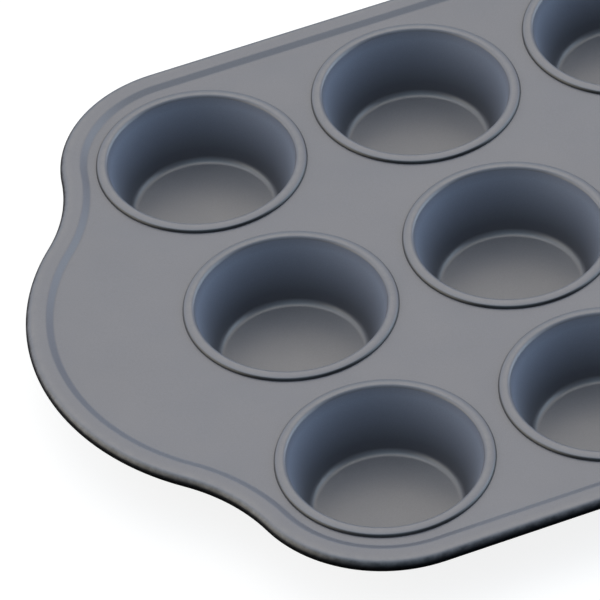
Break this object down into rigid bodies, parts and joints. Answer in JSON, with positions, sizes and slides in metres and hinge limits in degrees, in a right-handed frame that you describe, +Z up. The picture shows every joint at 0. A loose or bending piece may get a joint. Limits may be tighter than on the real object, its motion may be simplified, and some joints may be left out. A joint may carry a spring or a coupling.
{
  "type": "muffin tin",
  "caption": "Shallow non-stick baking tray with rows of tapered round cups, a stepped flange, a wired rolled edge and a broad rounded handle at each end.",
  "frame": {"origin": "centre of the tin's footprint, on the plane that the undersides of the cups stand on", "axes": "+X along the long sides, from one end handle to the other; +Y across the width; +Z up, out of the cups' mouths"},
  "size_m": [0.4588, 0.2844, 0.0272],
  "materials": {
    "nonstick_coating": "grey-blue non-stick coating over sheet steel, satin, with a faint metallic glint",
    "wire_steel": "plain drawn steel wire, hidden inside the rolled edge"
  },
  "bodies": {
    "root": {"tray_sheet": "nonstick_coating", "rim_wire": "wire_steel", "cup_row1_column1": "nonstick_coating", "cup_row1_column2": "nonstick_coating", "cup_row1_column3": "nonstick_coating", "cup_row1_column4": "nonstick_coating", "cup_row2_column1": "nonstick_coating", "cup_row2_column2": "nonstick_coating", "cup_row2_column3": "nonstick_coating", "cup_row2_column4": "nonstick_coating", "cup_row3_column1": "nonstick_coating", "cup_row3_column2": "nonstick_coating", "cup_row3_column3": "nonstick_coating", "cup_row3_column4": "nonstick_coating"}
  },
  "joints": []
}
